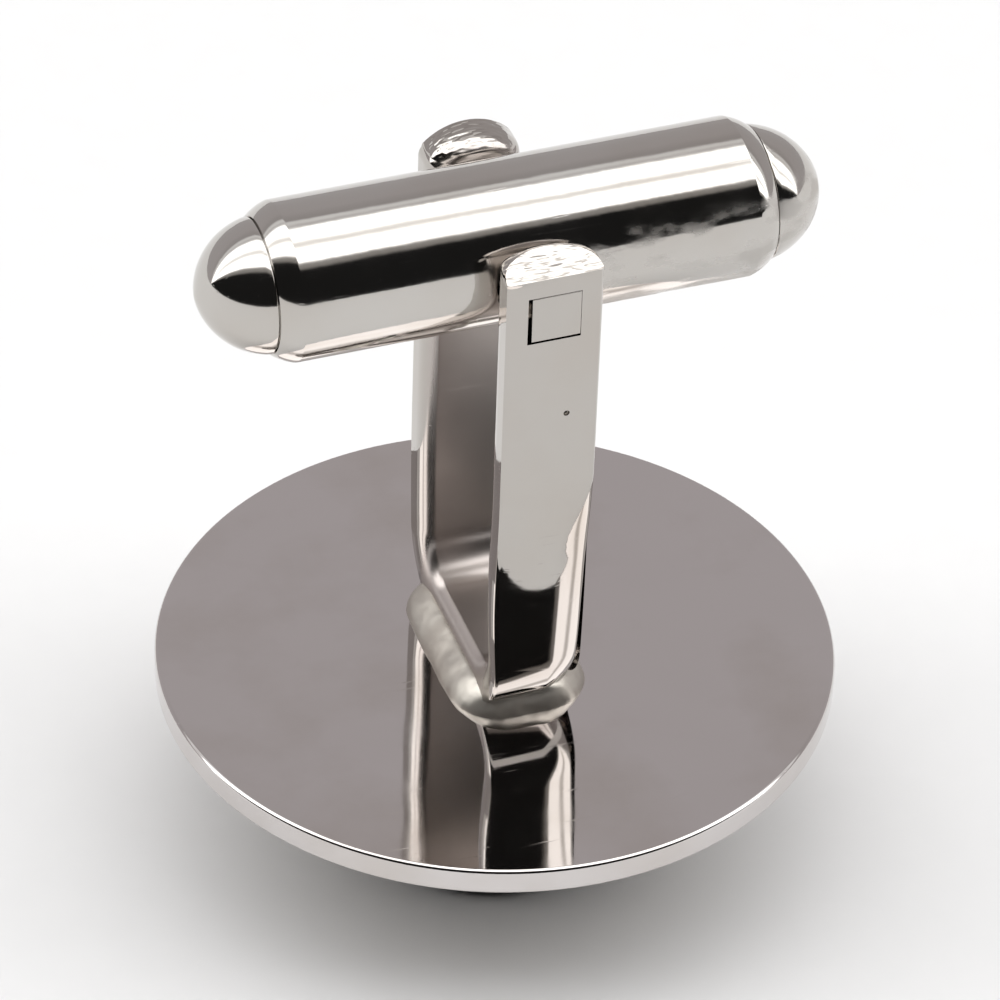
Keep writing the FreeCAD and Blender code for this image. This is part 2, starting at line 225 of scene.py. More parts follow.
class CufflinkToggleSizes(bpy.types.PropertyGroup):
    """Sizes of the barrel and its noses."""

    barrel_wall: length("Barrel wall", "Thickness of the tube", 0.0004)
    barrel_edge: length("Barrel edge", "How far the tube's ends are rounded down", 0.00032)
    barrel_taper: length("Barrel taper", "Length of the tube's rounded ends", 0.0006)
    barrel_bow: length("Barrel bow", "How far those ends bulge", 0.00004)
    bearing_clearance: length("Bearing clearance", "Room round the pin's corners", 0.00004)
    nose_radius: length("Nose radius", "Radius of a nose's shoulder", SEAT["nose_plug_right"][1].y)
    nose_edge: length("Nose edge", "Rounding of a nose's shoulder", 0.00004)
    nose_side: length("Nose side", "Radius of a nose's rounded side", 0.0021)
    seam_width: length("Seam width", "Gap between the tube's mouth and a nose's shoulder", 0.00003)
    shank_clearance: length("Shank clearance", "Gap between a plug and the tube", 0.00002)
    rub_start: length("Rub start", "From the pin to where the rubbed half starts", 0.0006)
    rub_full: length("Rub full", "From the pin to where it is fully rubbed", 0.002)
    rub_low: length("Rub low", "Height above the pin's middle up to which it is rubbed", 0.0008)
    rub_top: length("Rub top", "Height above the pin's middle where it is rubbed no more", 0.0014)


class CufflinkFinishes(bpy.types.PropertyGroup):
    """Colours and polish of the finishes."""

    plate_colour: colour("Plate", "Plated metal of the back plate", (0.64, 0.61, 0.60))
    front_colour: colour("Front", "Plated metal of the skirt and the cup", (0.66, 0.63, 0.60))
    strap_colour: colour("Strap", "Plated metal of the strap and the pin", (0.50, 0.475, 0.447))
    toggle_colour: colour("Toggle", "Plated metal of the barrel and its noses", (0.555, 0.535, 0.508))
    # Painted shade: the inside colour is a darker, warmer colour that stands in for the shade between
    # the strap's legs, on its inner faces, and is no tarnish
    inner_shade_colour: colour("Inside", "Tarnish on the strap's inner faces", (0.50, 0.455, 0.43))
    tarnish_colour: colour("Tarnish", "Thin tarnish on the plated metal", (0.46, 0.41, 0.36))
    speck_colour: colour("Speck", "Dirt in the plated metal's specks", (0.08, 0.07, 0.06))
    solder_colour: colour("Solder", "Plated solder", (0.56, 0.53, 0.48))
    pit_colour: colour("Pit", "Dirt in the solder's pits", (0.12, 0.10, 0.08))
    stone_colour: colour("Stone", "Black stone", (0.008, 0.008, 0.009))
    cloud_colour: colour("Cloud", "Faint clouds in the stone", (0.03, 0.028, 0.027))
    cement_colour: colour("Cement", "Set cement", (0.55, 0.48, 0.36))
    spring_colour: colour("Spring", "Blued spring steel", (0.36, 0.38, 0.44))
    straw_colour: colour("Straw", "Straw tint in the blued steel", (0.45, 0.38, 0.28))
    floor_colour: colour("Floor", "Pale floor", (0.80, 0.80, 0.80))
    wear: share("Wear", "How much the scratches and specks show", 0.25)


class CufflinkStudio(bpy.types.PropertyGroup):
    """Camera, light and floor."""

    azimuth: angle("Azimuth", "Camera's turn round the post", -20.5)
    elevation: angle("Elevation", "Camera's height above the horizon", 39.0)
    roll: angle("Roll", "Camera's roll about its own line of sight", 2.0)
    distance: length("Distance", "From the camera to what it looks at", 0.2)
    aim_height: length("Aim height", "Height that the camera looks at", 0.011)
    focal_length: bpy.props.FloatProperty(
        name="Focal length",
        description="Focal length in millimetres",
        default=262.0,
        min=1.0,
        unit="CAMERA",
    )
    floor_size: length("Floor size", "Side of the floor", 3.0)
    overhead: strength("Overhead light", "Brightness of the light over the table", 2.75)
    far_wall: strength("Far wall", "Brightness of the room beyond the table", 0.51)
    near_wall: strength("Near wall", "Brightness of the room on the camera's side", 0.015)
    backdrop: share("Backdrop", "Brightness of what the camera sees beyond the floor", 0.9)


def sizes(group):
    """One of the scene's property groups."""
    return getattr(bpy.context.scene, "cufflink_" + group)


# Modelling
def arc(centre, radius, start, finish, steps=ARC_STEPS):
    """Points of an arc in a flat drawing, from one angle to another in degrees."""
    points = []
    for step in range(steps + 1):
        turn = math.radians(start + (finish - start) * step / steps)
        points.append((centre[0] + radius * math.cos(turn), centre[1] + radius * math.sin(turn)))
    return points


def bowed(start, finish, depth, steps=2 * ARC_STEPS):
    """Points of an arc that stands off its chord by a depth, to the left of its way if positive."""
    start = Vector(start)
    chord = Vector(finish) - start
    along = chord.normalized()
    aside = Vector((-along.y, along.x)) * math.copysign(1.0, depth)
    radius = (chord.length_squared / 4 + depth ** 2) / (2 * abs(depth))
    centre = start + chord / 2 - aside * (radius - abs(depth))
    half = math.asin(chord.length / 2 / radius)
    points = []
    for step in range(steps + 1):
        turn = half * (2 * step / steps - 1)
        points.append(tuple(centre + (aside * math.cos(turn) + along * math.sin(turn)) * radius))
    return points


def clear_selection():
    """Leave edit mode with nothing selected."""
    if bpy.context.object is not None and bpy.context.object.mode != "OBJECT":
        bpy.ops.object.mode_set(mode="OBJECT")
    bpy.ops.object.select_all(action="DESELECT")


def choose(piece):
    """Select one piece alone."""
    clear_selection()
    bpy.context.view_layer.objects.active = piece
    piece.select_set(True)


def named(name):
    """The piece that was just added, under its own name."""
    piece = bpy.context.object
    piece.name = name
    piece.data.name = name
    return piece


def add_box(name, size, middle):
    """A box with its place and size in its mesh."""
    clear_selection()
    bpy.ops.mesh.primitive_cube_add(size=1.0, location=middle)
    bpy.ops.transform.resize(value=size)
    bpy.ops.object.transform_apply(location=True, rotation=True, scale=True)
    return named(name)


def draw_chain(name, points):
    """A new piece, in edit mode, that is one chain of edges through points."""
    clear_selection()
    bpy.ops.mesh.primitive_plane_add(size=MERGE_GAP, location=ORIGIN)
    piece = named(name)
    bpy.ops.object.mode_set(mode="EDIT")
    bpy.ops.mesh.select_mode(type="VERT")
    bpy.ops.mesh.select_all(action="SELECT")
    bpy.ops.mesh.merge(type="CENTER")
    bpy.ops.transform.translate(value=points[0])
    for place, following in zip(points, points[1:]):
        step = Vector(following) - Vector(place)
        bpy.ops.mesh.extrude_vertices_move(TRANSFORM_OT_translate={"value": step})
    bpy.ops.mesh.select_all(action="SELECT")
    return piece


def extrude(step):
    """Extrude what is selected by a step."""
    bpy.ops.mesh.extrude_region_move(TRANSFORM_OT_translate={"value": step})


def face_outwards():
    """Turn all faces of the piece in edit mode outwards."""
    bpy.ops.mesh.select_all(action="SELECT")
    bpy.ops.mesh.normals_make_consistent(inside=False)


def turned(name, points, centre, axis):
    """A closed piece spun from a chain of points about an axis."""
    piece = draw_chain(name, points)
    bpy.ops.mesh.spin(steps=ROUND_STEPS, angle=2 * math.pi, center=centre, axis=axis)
    bpy.ops.mesh.select_all(action="SELECT")
    bpy.ops.mesh.remove_doubles(threshold=MERGE_GAP)
    face_outwards()
    bpy.ops.object.mode_set(mode="OBJECT")
    return piece


def turned_upright(name, profile):
    """A piece turned about the post's line, from points of radius and height."""
    points = [(radius, 0.0, height) for radius, height in profile]
    return turned(name, points, ORIGIN, (0.0, 0.0, 1.0))


def turned_on_toggle(name, profile):
    """A piece turned about the toggle's line, from points of place along it and radius."""
    points = [(along, 0.0, PIVOT.z + radius) for along, radius in profile]
    return turned(name, points, PIVOT, (1.0, 0.0, 0.0))


def pick(piece, kind, wanted):
    """Enter edit mode with only the faces, edges or corners selected that a test picks."""
    choose(piece)
    bpy.ops.object.mode_set(mode="EDIT")
    bpy.ops.mesh.select_mode(type=kind)
    bpy.ops.mesh.select_all(action="DESELECT")
    bpy.ops.object.mode_set(mode="OBJECT")
    items = {"FACE": piece.data.polygons, "EDGE": piece.data.edges, "VERT": piece.data.vertices}
    for item in items[kind]:
        item.select = wanted(item)
    bpy.ops.object.mode_set(mode="EDIT")


def stretch_along_pin(piece, factor):
    """Stretch a whole piece along the pin."""
    pick(piece, "VERT", lambda vertex: True)
    bpy.ops.transform.resize(value=(1.0, factor, 1.0), center_override=ORIGIN)


def edge_ends(piece, edge):
    """The places of an edge's two ends."""
    return [piece.data.vertices[index].co for index in edge.vertices]


def apply_modifier(piece, kind, **settings):
    """Add a modifier, set it up and apply it."""
    choose(piece)
    modifier = piece.modifiers.new(kind.lower(), kind)
    for name, value in settings.items():
        setattr(modifier, name, value)
    bpy.ops.object.modifier_apply(modifier=modifier.name)


def smooth(piece, sharp_angle):
    """Smooth shading up to an angle, with flats that stay flat."""
    choose(piece)
    bpy.ops.object.shade_smooth_by_angle(angle=math.radians(sharp_angle))
    apply_modifier(piece, "WEIGHTED_NORMAL", keep_sharp=True, weight=100)


def cut_away(piece, cutter):
    """Cut one piece out of another and remove the cutter."""
    apply_modifier(piece, "BOOLEAN", operation="DIFFERENCE", solver="EXACT", object=cutter)
    bpy.data.objects.remove(cutter)


def fit(piece, body, node, finish):
    """Put a finished piece in the place of its node."""
    if not piece.data.polygons:
        raise RuntimeError(piece.name + " has no faces")
    piece.data.materials.clear()
    piece.data.materials.append(finish)
    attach(piece, body)
    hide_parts(node)


# Finishes
def new_finish(name, metallic=0.0):
    """A new node material with its nodes, its shader and the place on the piece, in metres."""
    finish = bpy.data.materials.new(name)
    finish.use_nodes = True
    tree = finish.node_tree
    shader = tree.nodes["Principled BSDF"]
    shader.inputs["Metallic"].default_value = metallic
    return finish, tree, shader, add(tree, "ShaderNodeTexCoord").outputs["Object"]


def feed(tree, socket, value):
    """Link a value to a socket, or set it there."""
    if isinstance(value, bpy.types.NodeSocket):
        tree.links.new(value, socket)
    else:
        socket.default_value = value


def add(tree, kind, settings=None, **inputs):
    """Add a node, set it up and give its inputs a value or a link."""
    node = tree.nodes.new(kind)
    for name, value in (settings or {}).items():
        setattr(node, name, value)
    for name, value in inputs.items():
        feed(tree, node.inputs[name.replace("_", " ")], value)
    return node


def part_of(tree, place, axis):
    """One part of a place, along X, Y or Z."""
    return add(tree, "ShaderNodeSeparateXYZ", Vector=place).outputs[axis]


def noise(tree, place, scale, detail):
    """Smooth noise of a given fineness, in features per metre."""
    return add(tree, "ShaderNodeTexNoise", Vector=place, Scale=scale, Detail=detail).outputs["Fac"]


def streaks(tree, place, turn, scale, detail):
    """Noise turned by degrees and stretched, for patterns with a direction."""
    turns = tuple(math.radians(part) for part in turn)
    along = add(tree, "ShaderNodeMapping", Vector=place, Rotation=turns, Scale=scale)
    return noise(tree, along.outputs["Vector"], 1.0, detail)


def ranged(tree, value, low, high, to_low, to_high):
    """A value carried from one range into another and held there."""
    node = add(tree, "ShaderNodeMapRange", Value=value)
    limits = {"From Min": low, "From Max": high, "To Min": to_low, "To Max": to_high}
    for name, number in limits.items():
        node.inputs[name].default_value = number
    return node.outputs["Result"]


def calculated(tree, operation, first, second):
    """One sum of two values."""
    node = add(tree, "ShaderNodeMath", {"operation": operation})
    for socket, value in zip(node.inputs, (first, second)):
        feed(tree, socket, value)
    return node.outputs["Value"]


def summed(tree, total, *values):
    """Values added up."""
    for value in values:
        total = calculated(tree, "ADD", total, value)
    return total


def multiplied(tree, product, *values):
    """Values multiplied with each other."""
    for value in values:
        product = calculated(tree, "MULTIPLY", product, value)
    return product


def blended(tree, factor, first, second):
    """Two colours mixed by a factor."""
    node = add(tree, "ShaderNodeMix", {"data_type": "RGBA"}, Factor=factor)
    for name, value in (("A", first), ("B", second)):
        socket = [item for item in node.inputs if item.name == name and item.type == "RGBA"][0]
        feed(tree, socket, value if isinstance(value, bpy.types.NodeSocket) else (*value, 1.0))
    return [item for item in node.outputs if item.type == "RGBA"][0]


def dress(tree, shader, tint, rough, height, relief=FINE_RELIEF):
    """Give a shader its colour, its roughness and a fine relief."""
    tree.links.new(tint, shader.inputs["Base Color"])
    tree.links.new(rough, shader.inputs["Roughness"])
    bump = add(tree, "ShaderNodeBump", Height=height, Strength=1.0, Distance=relief)
    tree.links.new(bump.outputs["Normal"], shader.inputs["Normal"])


def scratches(tree, place, turn, fineness, rarity, stretch=0.05, softness=0.03):
    """Long thin scratches in one direction: one where there is a scratch, nothing elsewhere."""
    lines = streaks(tree, place, turn, (fineness * stretch, fineness, fineness), 1.0)
    return ranged(tree, lines, rarity, rarity + softness, 0.0, 1.0)


def specks(tree, place, cells_per_metre, radius_share, rarity, core=0.7):
    """Sparse round specks: one inside a speck, nothing elsewhere."""
    node = add(tree, "ShaderNodeTexVoronoi", Vector=place, Scale=cells_per_metre)
    inside = ranged(tree, node.outputs["Distance"], radius_share * core, radius_share, 1.0, 0.0)
    return multiplied(tree, inside, calculated(tree, "GREATER_THAN", node.outputs["Color"], rarity))


def strap_inner_shade(tree, place):
    """One on the strap's inner faces, nothing on its outer ones: where shade between the legs is
    painted.
    """
    post = sizes("post")
    inner = STRAP_OUTER - post.strap_thickness
    reach = calculated(tree, "ABSOLUTE", part_of(tree, place, "Y"), 0.0)
    return ranged(tree, reach, inner, inner + post.inner_depth / 2, 1.0, 0.0)


def ear_tops(tree, place):
    """One on the ears' tops, nothing below them."""
    post = sizes("post")
    low = PIVOT.z + post.slope_edge
    lower_ear = calculated(tree, "GREATER_THAN", part_of(tree, place, "Y"), 0.0)
    height = summed(tree, part_of(tree, place, "Z"), multiplied(tree, lower_ear, post.ear_drop))
    return ranged(tree, height, low - post.edge_break, low + post.edge_break, 0.0, 1.0)


def rubbed_half(tree, place):
    """Fine scuffs on one half of the toggle, as added roughness."""
    toggle = sizes("toggle")
    half = ranged(tree, part_of(tree, place, "X"), toggle.rub_start, toggle.rub_full, 0.0, 1.0)
    height = part_of(tree, place, "Z")
    below = ranged(tree, height, PIVOT.z + toggle.rub_low, PIVOT.z + toggle.rub_top, 1.0, 0.0)
    patches = streaks(tree, place, UNTURNED, (600.0, 1500.0, 1500.0), 5.0)
    return multiplied(tree, half, below, ranged(tree, patches, 0.44, 0.62, 0.0, 0.45))


# What tells the plated finishes apart
Plating = namedtuple(
    "Plating",
    "colour polish scuff peel speck_rarity dull filed rubbed",
    defaults=(None, None, None),
)
PLATINGS = {
    "polished_plate": Plating("plate_colour", 0.03, 0.05, 0.01, 0.80),
    "polished_front": Plating("front_colour", 0.06, 0.10, 0.10, 0.70),
    # The strap's finish paints shade on its inner faces, between the legs
    "scuffed_strap": Plating("strap_colour", 0.03, 0.03, 0.04, 0.78, strap_inner_shade, ear_tops),
    "scuffed_pin": Plating("strap_colour", 0.08, 0.10, 0.12, 0.70),
    "bright_toggle": Plating("toggle_colour", 0.05, 0.07, 0.12, 0.80, rubbed=rubbed_half),
}


def plated_metal(name):
    """Polished white plate over brass, with thin tarnish, scratches, specks, a slight wave and, on the
    strap, painted shade on its inner faces.
    """
    if name in bpy.data.materials:
        return bpy.data.materials[name]
    finish, tree, shader, place = new_finish(name, metallic=1.0)
    colours = sizes("finishes")
    plating = PLATINGS[name]
    tint = getattr(colours, plating.colour)
    cloud = ranged(tree, noise(tree, place, 260.0, 4.0), 0.45, 0.75, 0.0, 0.35)
    dots = specks(tree, place, 420.0, 0.035, plating.speck_rarity)
    metal = blended(tree, cloud, tint, colours.tarnish_colour)
    metal = blended(tree, dots, metal, colours.speck_colour)
    first_lines = scratches(tree, place, (12.0, 8.0, 35.0), 9000.0, 0.71)
    second_lines = scratches(tree, place, (-20.0, 14.0, -52.0), 7000.0, 0.73)
    lines = calculated(tree, "MAXIMUM", first_lines, second_lines)
    dullest = plating.polish + plating.scuff
    haze = ranged(tree, noise(tree, place, 900.0, 5.0), 0.3, 0.8, plating.polish, dullest)
    worn = multiplied(tree, lines, SCRATCH_ROUGHNESS * colours.wear)
    rough = summed(tree, haze, worn, multiplied(tree, dots, SPECK_ROUGHNESS))
    wave = multiplied(tree, noise(tree, place, 330.0, 1.0), WAVE_HEIGHT)
    dimples = multiplied(tree, noise(tree, place, 1600.0, 2.0), plating.peel)
    grooves = multiplied(tree, summed(tree, lines, dots), GROOVE_HEIGHT * colours.wear)
    height = summed(tree, wave, dimples, grooves)
    if plating.dull:
        # Painted shade: the strap's inner faces, between its legs, get a darker, warmer colour, and
        # more roughness
        shade_and_dulling = plating.dull(tree, place)
        metal = blended(tree, shade_and_dulling, metal, colours.inner_shade_colour)
        rough = summed(tree, rough, multiplied(tree, shade_and_dulling, DULL_ROUGHNESS))
    if plating.filed:
        strokes = streaks(tree, place, (0.0, 0.0, 8.0), (700.0, 2600.0, 2600.0), 2.0)
        marks = multiplied(tree, strokes, plating.filed(tree, place), FILE_HEIGHT)
        height = summed(tree, height, marks)
    if plating.rubbed:
        rough = summed(tree, rough, plating.rubbed(tree, place))
    dress(tree, shader, metal, rough, height)
    return finish


def solder_finish():
    """Plated solder, slightly yellow and pitted."""
    finish, tree, shader, place = new_finish("pitted_solder", metallic=1.0)
    colours = sizes("finishes")
    cloud = ranged(tree, noise(tree, place, 700.0, 3.0), 0.4, 0.7, 0.0, 0.5)
    pits = specks(tree, place, 2600.0, 0.18, 0.9)
    clean = blended(tree, cloud, colours.solder_colour, colours.tarnish_colour)
    tint = blended(tree, pits, clean, colours.pit_colour)
    rough = ranged(tree, noise(tree, place, 1800.0, 4.0), 0.3, 0.7, 0.32, 0.48)
    grain = multiplied(tree, noise(tree, place, 1500.0, 3.0), 0.4)
    height = calculated(tree, "SUBTRACT", grain, multiplied(tree, pits, 0.5))
    dress(tree, shader, tint, rough, height)
    return finish


def stone_finish():
    """Polished black stone with faint clouds and small chips."""
    finish, tree, shader, place = new_finish("polished_black_stone")
    colours = sizes("finishes")
    cloud = ranged(tree, noise(tree, place, 500.0, 6.0), 0.5, 0.8, 0.0, 0.5)
    chips = specks(tree, place, 1300.0, 0.25, 0.72)
    tint = blended(tree, cloud, colours.stone_colour, colours.cloud_colour)
    haze = ranged(tree, noise(tree, place, 1200.0, 6.0), 0.35, 0.75, 0.05, 0.22)
    rough = summed(tree, haze, multiplied(tree, chips, 0.25))
    wave = noise(tree, place, 700.0, 3.0)
    height = calculated(tree, "SUBTRACT", wave, multiplied(tree, chips, 0.5))
    shader.inputs["IOR"].default_value = 1.54
    dress(tree, shader, tint, rough, height)
    return finish


def cement_finish():
    """Set cement, grainy and dull."""
    finish, tree, shader, place = new_finish("set_cement")
    pale = sizes("finishes").cement_colour
    grain = noise(tree, place, 2500.0, 6.0)
    tint = blended(tree, grain, tuple(0.6 * part for part in pale), pale)
    dress(tree, shader, tint, ranged(tree, grain, 0.3, 0.7, 0.7, 0.95), grain)
    return finish


def spring_finish():
    """Blued spring steel, rolled along its length."""
    finish, tree, shader, place = new_finish("blued_spring_steel", metallic=1.0)
    colours = sizes("finishes")
    rolled = streaks(tree, place, UNTURNED, (150.0, 9000.0, 9000.0), 3.0)
    tempering = ranged(tree, noise(tree, place, 400.0, 3.0), 0.4, 0.7, 0.0, 0.6)
    tint = blended(tree, tempering, colours.spring_colour, colours.straw_colour)
    dress(tree, shader, tint, ranged(tree, rolled, 0.3, 0.7, 0.2, 0.4), rolled, ROLLED_RELIEF)
    return finish


def floor_finish():
    """Plain pale board with a faint grain."""
    finish, tree, shader, place = new_finish("pale_floor")
    pale = sizes("finishes").floor_colour
    grain = noise(tree, place, 900.0, 4.0)
    shade = tuple(0.97 * part for part in pale)
    tree.links.new(blended(tree, grain, shade, pale), shader.inputs["Base Color"])
    tree.links.new(ranged(tree, grain, 0.3, 0.7, 0.75, 0.9), shader.inputs["Roughness"])
    return finish


# Pieces of the face
class CufflinkBackPlate(bpy.types.Operator):
    """Turn the flat back plate with its rounded rim"""

    bl_idname = "cufflink.back_plate"
    bl_label = "Back plate"

    def execute(self, context):
        face = sizes("face")
        low, high = SEAT["back_plate"]
        inner = face.plate_radius - face.plate_edge
        profile = [(0.0, high.z)]
        profile += arc((inner, high.z - face.plate_edge), face.plate_edge, 90.0, 0.0)
        profile += arc((inner, low.z + face.plate_edge), face.plate_edge, 0.0, -90.0)
        profile.append((0.0, low.z))
        piece = turned_upright("plate", profile)
        smooth(piece, ROUND_SHARP)
        fit(piece, "post", "back_plate", plated_metal("polished_plate"))
        return {"FINISHED"}


class CufflinkSkirt(bpy.types.Operator):
    """Turn the hollow skirt that flares in a cove from the cup to the plate"""

    bl_idname = "cufflink.skirt"
    bl_label = "Flared skirt"

    def execute(self, context):
        face = sizes("face")
        low, high = SEAT["flared_skirt"]
        neck = (face.neck_radius, low.z)
        rim = (face.skirt_radius, high.z - face.skirt_edge)
        seat = (face.skirt_radius - face.skirt_seat, high.z)
        throat = (face.neck_radius - face.skirt_wall, low.z)
        profile = bowed(neck, rim, face.cove_depth)
        profile.append((face.skirt_radius, high.z))
        profile += bowed(seat, throat, -face.cove_depth)
        profile.append(neck)
        piece = turned_upright("skirt", profile)
        smooth(piece, STAMPED_SHARP)
        fit(piece, "post", "flared_skirt", plated_metal("polished_front"))
        return {"FINISHED"}


class CufflinkCup(bpy.types.Operator):
    """Turn the cup with its half-round bead and thin lip"""

    bl_idname = "cufflink.cup"
    bl_label = "Stone cup"

    def execute(self, context):
        face = sizes("face")
        low, high = SEAT["stone_cup"]
        bead_top = (face.neck_radius, high.z - face.bead_drop)
        bead_low = (face.neck_radius, high.z - face.bead_drop - face.bead_height)
        lip = face.neck_radius - face.lip_step
        bore = SEAT["stone"][1].x + face.stone_clearance
        profile = [(0.0, high.z), (face.neck_radius, high.z)]
        profile += bowed(bead_top, bead_low, face.bead_bulge)
        profile += arc((lip - face.lip_edge, low.z + face.lip_edge), face.lip_edge, 0.0, -90.0)
        profile += [(bore, low.z), (bore, high.z - face.cup_floor), (0.0, high.z - face.cup_floor)]
        piece = turned_upright("cup", profile)
        smooth(piece, STAMPED_SHARP)
        fit(piece, "post", "stone_cup", plated_metal("polished_front"))
        return {"FINISHED"}


class CufflinkStone(bpy.types.Operator):
    """Turn the black stone with the rounded edge of its face"""

    bl_idname = "cufflink.stone"
    bl_label = "Black stone"

    def execute(self, context):
        face = sizes("face")
        low, high = SEAT["stone"]
        inner = high.x - face.stone_edge
        profile = [(0.0, high.z), (high.x, high.z)]
        profile += arc((inner, low.z + face.stone_edge), face.stone_edge, 0.0, -90.0, 2 * ARC_STEPS)
        profile.append((0.0, low.z))
        piece = turned_upright("black_stone", profile)
        smooth(piece, ROUND_SHARP)
        fit(piece, "post", "stone", stone_finish())
        return {"FINISHED"}


# Pieces of the post
def strap_half_width(height):
    """Half the strap's width at a height above the plate."""
    post = sizes("post")
    narrowed = STRAP_HALF - post.foot_width / 2
    return STRAP_HALF - narrowed * max(1.0 - height / post.taper_height, 0.0) ** 2


def leg_rows():
    """Heights above the plate of a leg's rows of faces, from its bend up."""
    post = sizes("post")
    rows = [post.bend_radius]
    while rows[-1] < post.flank_top:
        rows.append(rows[-1] + post.strap_thickness / 4)
    return rows


def arch_middle():
    """The height of the middle of an ear's arch, as its outline is drawn."""
    post = sizes("post")
    return PIVOT.z + post.arch_spring - math.sqrt(post.arch_radius ** 2 - STRAP_HALF ** 2)


def ear_outline():
    """One leg as it is seen along the pin, from its bend up one side, over the ear and down."""
    post = sizes("post")
    arch_z = arch_middle() - PLATE_BACK
    round_x = STRAP_HALF - post.shoulder_round
    reach = post.arch_radius - post.shoulder_round
    round_z = arch_z + math.sqrt(reach ** 2 - round_x ** 2)
    lean = math.degrees(math.atan2(round_z - arch_z, round_x))
    side = [(strap_half_width(height), height) for height in leg_rows()]
    corner = arc((round_x, round_z), post.shoulder_round, 0.0, lean)
    arch = arc((0.0, arch_z), post.arch_radius, lean, 180.0 - lean, 2 * ARC_STEPS)
    right = side + corner
    left = [(-across, height) for across, height in reversed(right)]
    return right + arch[1:-1] + left


def shape_ears(piece):
    """Press one ear's arch flatter and set the other ear lower."""
    post = sizes("post")
    pick(piece, "VERT", lambda vertex: vertex.co.y < 0.0 and vertex.co.z > PIVOT.z)
    flatter = (1.0, 1.0, 1.0 - post.ear_flatness)
    top = (0.0, 0.0, arch_middle() + post.arch_radius)
    bpy.ops.transform.resize(value=flatter, center_override=top)
    pick(piece, "VERT", lambda vertex: vertex.co.y > 0.0 and vertex.co.z > PIVOT.z)
    bpy.ops.transform.translate(value=(0.0, 0.0, -post.ear_drop))


def ear_slope_cutter():
    """A block that clears what lies above one ear's filed slope and the rounding at its top."""
    post = sizes("post")
    outer_y = -STRAP_OUTER
    margin = post.strap_thickness
    edge_z = PIVOT.z + post.slope_edge
    top_z = arch_middle() + post.arch_radius + post.edge_break / 2
    steepness = math.tan(post.slope_lean)
    centre_z = top_z - post.ridge_round
    below = edge_z - post.ridge_round / math.cos(post.slope_lean)
    centre = (outer_y + (centre_z - below) / steepness, centre_z)
    section = [(outer_y - margin, edge_z - margin * steepness)]
    section += arc(centre, post.ridge_round, 90.0 + math.degrees(post.slope_lean), 90.0)
    section += [(margin, top_z), (margin, top_z + margin), (outer_y - margin, top_z + margin)]
    side = -2 * STRAP_HALF
    cutter = draw_chain("ear_slope_cutter", [(side, along, height) for along, height in section])
    bpy.ops.mesh.edge_face_add()
    extrude((-2 * side, 0.0, 0.0))
    face_outwards()
    return cutter


def round_inner_edges(piece):
    """Round a straight leg's inner edges, up one side, over the ear and down, deeper than wide."""
    post = sizes("post")
    squash = post.inner_round / post.inner_depth
    inner_y = (post.strap_thickness - STRAP_OUTER) * squash
    bottom = PLATE_BACK + post.bend_radius + MERGE_GAP
    stretch_along_pin(piece, squash)

    def inner_edge(edge):
        ends = edge_ends(piece, edge)
        inside = all(abs(end.y - inner_y) < MERGE_GAP for end in ends)
        return inside and max(end.z for end in ends) > bottom

    pick(piece, "EDGE", inner_edge)
    bpy.ops.mesh.bevel(offset=post.inner_round, segments=ARC_STEPS, profile=0.5, affect="EDGES")
    stretch_along_pin(piece, 1.0 / squash)


def strap_outer_gap(place):
    """How far a place lies inside the strap's outer surface."""
    post = sizes("post")
    height = place.z - PLATE_BACK
    along = abs(place.y)
    bend_y = STRAP_OUTER - post.bend_radius
    if height >= post.bend_radius:
        return STRAP_OUTER - along
    if along <= bend_y:
        return height
    return post.bend_radius - math.hypot(along - bend_y, post.bend_radius - height)


def eased(value, start, finish):
    """A share that swings softly from nothing at one value to all at another."""
    share_done = min(max((value - start) / (finish - start), 0.0), 1.0)
    return share_done * share_done * (3.0 - 2.0 * share_done)


def flank_width(ends):
    """The width of the rounding on one of the strap's edges, by where the edge lies."""
    post = sizes("post")
    height = (ends[0].z + ends[1].z) / 2 - PLATE_BACK
    on_outside = max(strap_outer_gap(end) for end in ends) < post.edge_break / 2
    inside = [strap_half_width(end.z - PLATE_BACK) - abs(end.x) for end in ends]
    across = ends[0].x * ends[1].x < 0.0
    if across or not on_outside or max(inside) > post.edge_break:
        return 0.0
    if ends[0].x < 0.0:
        return post.edge_break
    run_out = eased(height, post.flank_low, post.flank_top)
    return post.flank_round + (post.edge_break - post.flank_round) * run_out


def round_outer_edges(piece):
    """Round the strap's outer edges, wider than deep, to widths by place."""
    post = sizes("post")
    clear_selection()
    weights = piece.data.attributes.new("bevel_weight_edge", "FLOAT", "EDGE")
    for edge, weight in zip(piece.data.edges, weights.data):
        weight.value = flank_width(edge_ends(piece, edge)) / post.flank_round
    stretch = post.flank_round / post.flank_depth
    stretch_along_pin(piece, stretch)
    apply_modifier(
        piece,
        "BEVEL",
        width=post.flank_round,
        limit_method="WEIGHT",
        segments=FLANK_STEPS,
        profile=FLANK_PROFILE,
        use_clamp_overlap=False,
    )
    stretch_along_pin(piece, 1.0 / stretch)


